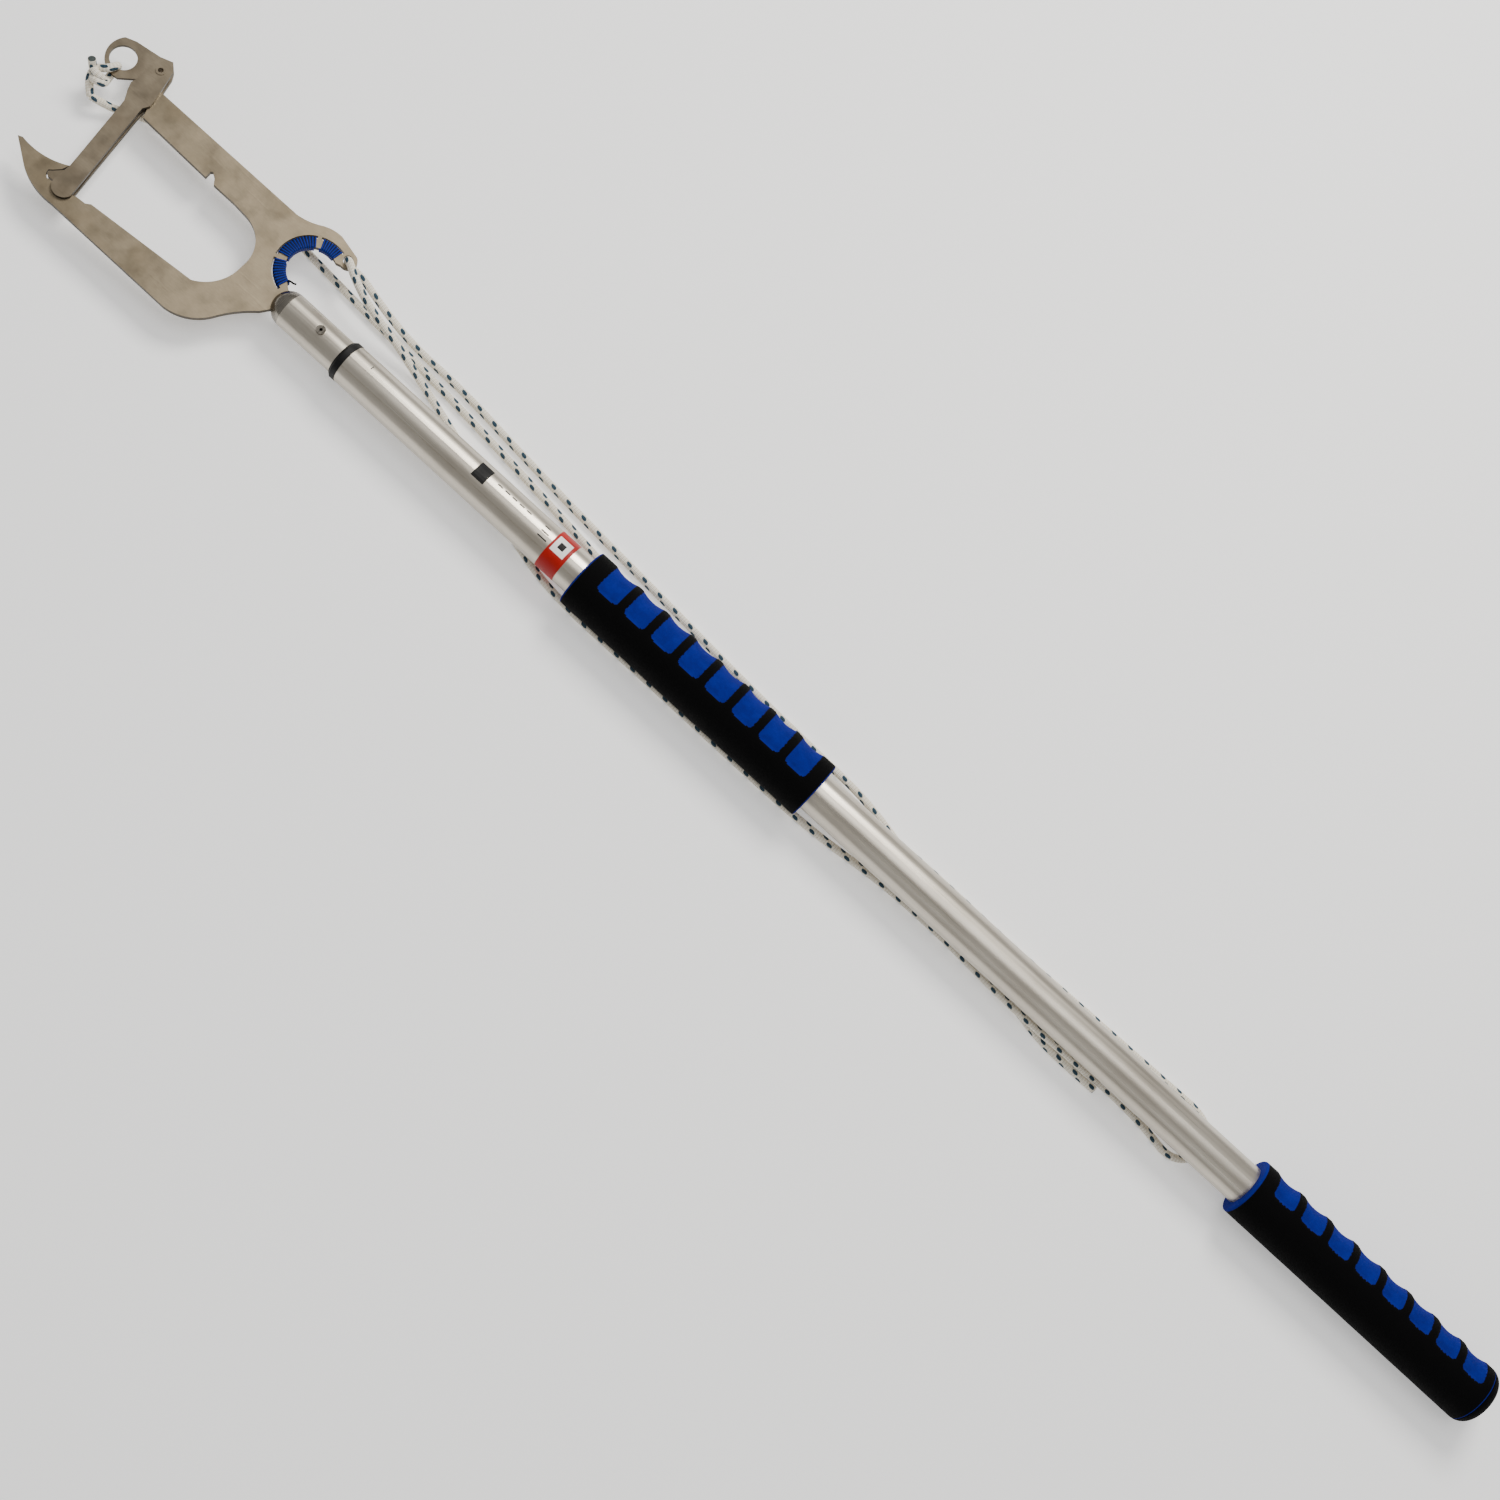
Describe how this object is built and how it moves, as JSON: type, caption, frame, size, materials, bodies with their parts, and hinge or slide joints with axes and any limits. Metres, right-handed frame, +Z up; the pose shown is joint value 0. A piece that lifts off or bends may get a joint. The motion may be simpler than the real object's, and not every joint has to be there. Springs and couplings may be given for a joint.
{
  "type": "boat hook",
  "caption": "Telescopic boat hook with a sprung gate across its hook, a control line, and foam grips on an aluminium pole.",
  "frame": {"origin": "centre of the bottom of the hook's box as it lies on its two grips, without the line", "axes": "+X along the pole towards the butt, +Y towards the gate's pivot, +Z up out of the hook plate"},
  "size_m": [1.4026, 0.1442, 0.047],
  "materials": {
    "anodised_tube": "satin",
    "black_plastic": "moulded",
    "bright_metal": "polished",
    "red_tape": "gloss",
    "blue_foam": "matt foam",
    "black_foam": "matt foam",
    "stainless": "matt rolled",
    "stainless_dark": "matt rolled",
    "blue_cord": "twisted",
    "rope": "braided"
  },
  "bodies": {
    "handle": {"outer_tube": "anodised_tube", "guide_collar": "black_plastic", "butt_plug": "black_plastic", "tape_band": "red_tape", "upper_grip_core": "blue_foam", "upper_grip_cover": "black_foam", "lower_grip_core": "blue_foam", "lower_grip_cover": "black_foam", "butt_cap": "black_foam", "rope_rear": "rope"},
    "head": {"inner_tube": "anodised_tube", "inner_end_plug": "black_plastic", "lock_screw": "bright_metal", "lock_cone": "black_plastic", "lock_expander": "black_plastic", "socket_plug": "bright_metal", "head_rivet": "bright_metal", "head_plate": "stainless", "pivot_pin": "stainless_dark", "gate_spring": "bright_metal", "whipping_upper": "blue_cord", "whipping_middle": "blue_cord", "whipping_lower": "blue_cord", "rope_lead": "rope", "rope_front": "rope"},
    "gate": {"gate_front_plate": "stainless_dark", "gate_back_plate": "stainless_dark", "gate_nose": "stainless_dark", "gate_stop_pin": "stainless_dark", "rope_knot": "rope"}
  },
  "joints": [
    {"name": "pole_slide", "type": "slide", "parent": "handle", "child": "head", "axis": [-1, 0, 0], "range_m": [0, 0.6]},
    {"name": "gate_hinge", "type": "hinge", "parent": "head", "child": "gate", "pos_m": [-0.65935, 0.0581, 0.0235], "axis": [0, 0, 1], "range_deg": [0, 59], "stiffness_Nm_per_rad": 0.12, "springref_deg": -20.05}
  ]
}
